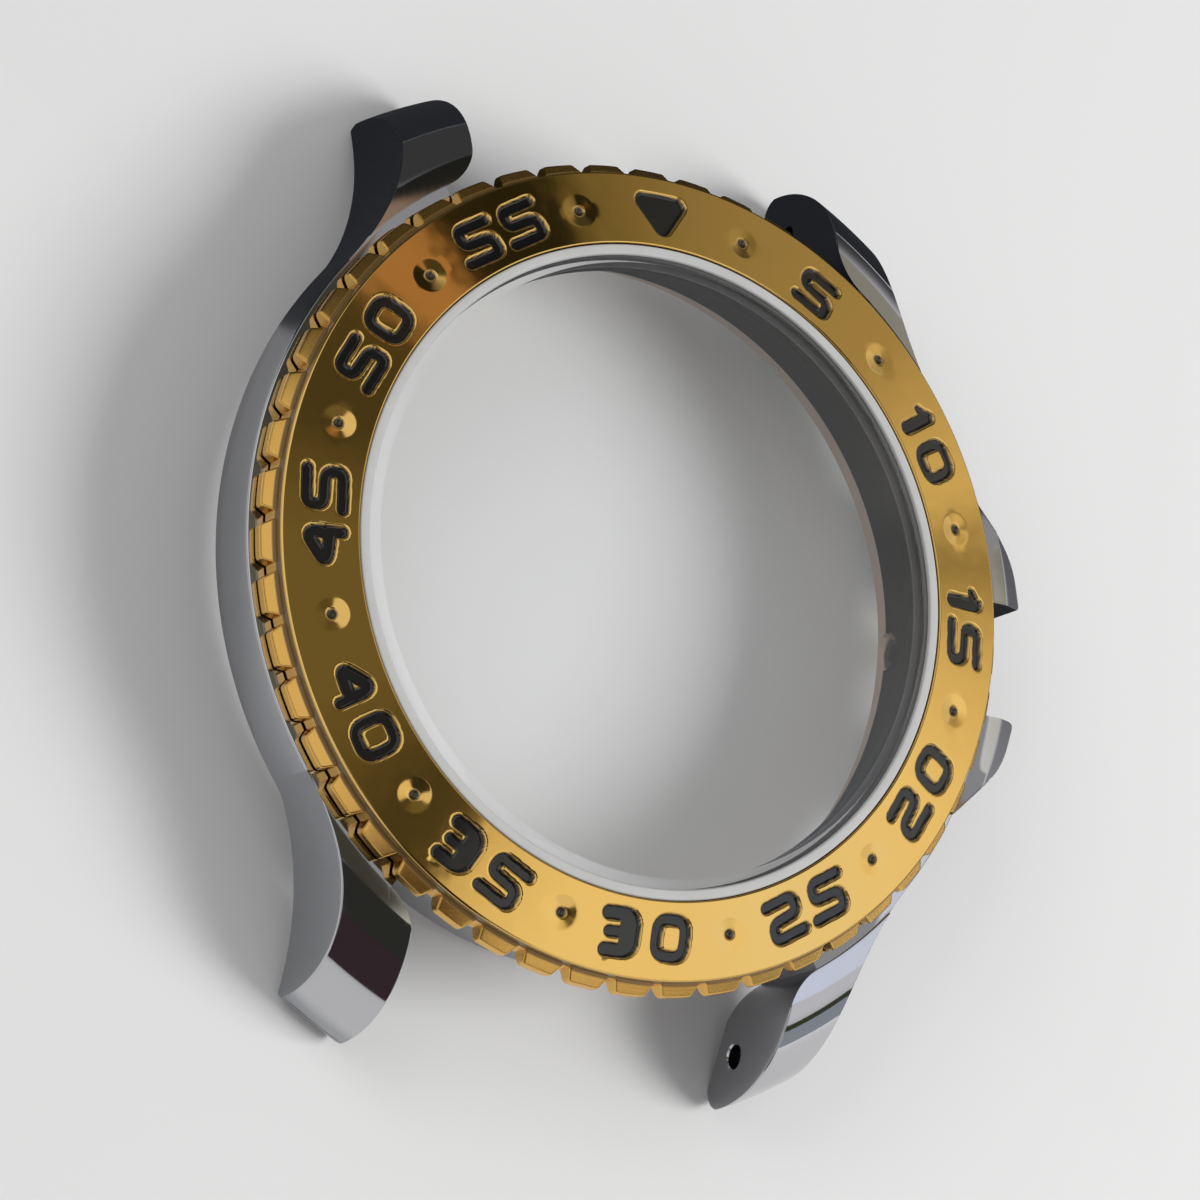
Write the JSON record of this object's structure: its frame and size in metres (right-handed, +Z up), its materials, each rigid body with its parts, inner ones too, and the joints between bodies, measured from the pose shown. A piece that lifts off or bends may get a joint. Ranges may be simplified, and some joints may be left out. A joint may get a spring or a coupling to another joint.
{
  "type": "watch case",
  "caption": "Empty round wristwatch case with strap lugs, crown guards, a flat crystal and a turning coin-edge bezel with minute numerals, open at the back.",
  "frame": {"origin": "centre of the case-back opening, on the plane of the case's bottom rim", "axes": "+Z up through the crystal, +X to the crown tube at 3 o'clock, +Y to the 12 o'clock lugs"},
  "size_m": [0.0424, 0.0462, 0.0098],
  "materials": {
    "case_steel": "satin flanks, polished lug tops",
    "gold_plate": "polished gold plating",
    "insert_plate": "polished gold plating with sunken black numerals",
    "crystal_glass": "clear polished mineral glass",
    "crystal_seal": "milky white nylon",
    "bezel_seal": "black rubber",
    "wire_steel": "drawn wire",
    "spring_steel": "rolled spring steel",
    "tube_steel": "turned",
    "numeral_paint": "black gloss paint in the sunken numerals"
  },
  "bodies": {
    "case": {"mid_case": "case_steel", "crystal": "crystal_glass", "crystal_gasket": "crystal_seal", "bezel_gasket": "bezel_seal", "retaining_wire": "wire_steel", "click_spring": "spring_steel", "crown_tube": "tube_steel"},
    "bezel": {"bezel_ring": "gold_plate", "bezel_insert": "insert_plate"}
  },
  "joints": [
    {"name": "bezel_turn", "type": "hinge", "parent": "case", "child": "bezel", "pos_m": [0, 0, 0.0065], "axis": [0, 0, 1], "continuous": true}
  ]
}
